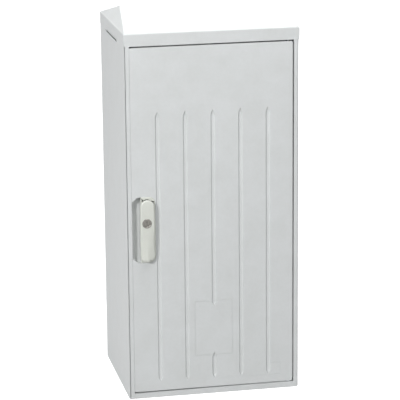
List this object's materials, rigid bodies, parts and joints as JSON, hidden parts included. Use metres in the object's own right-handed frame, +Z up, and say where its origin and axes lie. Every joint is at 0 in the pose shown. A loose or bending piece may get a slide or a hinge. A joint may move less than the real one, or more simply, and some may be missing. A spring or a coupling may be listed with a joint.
{
  "type": "roadside utility cabinet",
  "caption": "free-standing polyester street cabinet with a hipped roof, a fluted door on hidden pins and a swing handle that draws rods",
  "frame": {"origin": "middle of the anchor-bolt pattern, on the plane that the cabinet stands on", "axes": "X to the right seen from the door side, Y from the door to the back, Z up"},
  "size_m": [0.5, 0.4255, 1.102],
  "materials": {
    "polyester": "pale grey pressed glass-fibre polyester, fine satin texture",
    "handle_plastic": "pale grey satin polyamide",
    "rubber": "black EPDM",
    "nylon": "natural nylon",
    "laminate": "insulating laminate sheet",
    "galvanised": "hot-dip galvanised steel",
    "lock_metal": "nickel-plated lock cylinder",
    "cast_zinc": "die-cast zinc",
    "zinc_plated": "bright zinc-plated steel"
  },
  "bodies": {
    "cabinet": {"back_wall": "polyester", "back_wall_screws": "zinc_plated", "base_frame": "galvanised", "base_screws": "zinc_plated", "cable_grommets": "rubber", "cable_rail": "galvanised", "cable_rail_brackets": "galvanised", "cable_rail_screws": "zinc_plated", "frame_screws": "zinc_plated", "front_frame": "polyester", "gland_plate": "galvanised", "gland_plate_screws": "zinc_plated", "hinge_pin_lower": "zinc_plated", "hinge_pin_upper": "zinc_plated", "keeper_screws": "zinc_plated", "left_side_wall": "polyester", "right_side_wall": "polyester", "lower_keeper": "zinc_plated", "upper_keeper": "zinc_plated", "mounting_plate": "laminate", "plate_nuts": "zinc_plated", "plate_spacers": "zinc_plated", "roof": "polyester", "roof_screws": "zinc_plated"},
    "door": {"door_panel": "polyester", "door_gasket": "rubber", "hinge_bushes": "nylon", "handle_housing": "handle_plastic", "lock_case": "cast_zinc", "lock_case_cover": "cast_zinc", "lock_case_screws": "zinc_plated", "upper_rod_guide": "nylon", "lower_rod_guide": "nylon", "rod_guide_screws": "zinc_plated"},
    "handle_hub": {"handle_hub": "cast_zinc", "lock_pinion": "zinc_plated", "pinion_clip": "zinc_plated"},
    "lever": {"handle_lever": "handle_plastic", "lever_pin": "zinc_plated", "lock_cylinder": "lock_metal", "cylinder_nut": "zinc_plated"},
    "cylinder_plug": {"cylinder_plug": "lock_metal", "lock_tongue": "zinc_plated"},
    "upper_rod": {"upper_rack": "zinc_plated", "upper_rod": "zinc_plated"},
    "lower_rod": {"lower_rack": "zinc_plated", "lower_rod": "zinc_plated"}
  },
  "joints": [
    {"name": "door_hinge", "type": "hinge", "parent": "cabinet", "child": "door", "pos_m": [0.2195, -0.194, 0.5], "axis": [0, 0, 1], "range_deg": [0, 110]},
    {"name": "handle_turn", "type": "hinge", "parent": "door", "child": "handle_hub", "pos_m": [-0.1925, -0.205, 0.578], "axis": [0, -1, 0], "range_deg": [0, 90]},
    {"name": "handle_lift", "type": "hinge", "parent": "handle_hub", "child": "lever", "pos_m": [-0.1925, -0.212, 0.578], "axis": [-1, 0, 0], "range_deg": [0, 20]},
    {"name": "key_turn", "type": "hinge", "parent": "lever", "child": "cylinder_plug", "pos_m": [-0.1945, -0.22, 0.524], "axis": [0, -1, 0], "range_deg": [0, 90]},
    {"name": "upper_rod_slide", "type": "slide", "parent": "door", "child": "upper_rod", "axis": [0, 0, -1], "range_m": [0, 0.0158]},
    {"name": "lower_rod_slide", "type": "slide", "parent": "door", "child": "lower_rod", "axis": [0, 0, 1], "range_m": [0, 0.0158]}
  ],
  "couplings": [
    {"joint": "upper_rod_slide", "follows": "handle_turn", "m_per_rad": 0.01},
    {"joint": "lower_rod_slide", "follows": "handle_turn", "m_per_rad": 0.01}
  ]
}
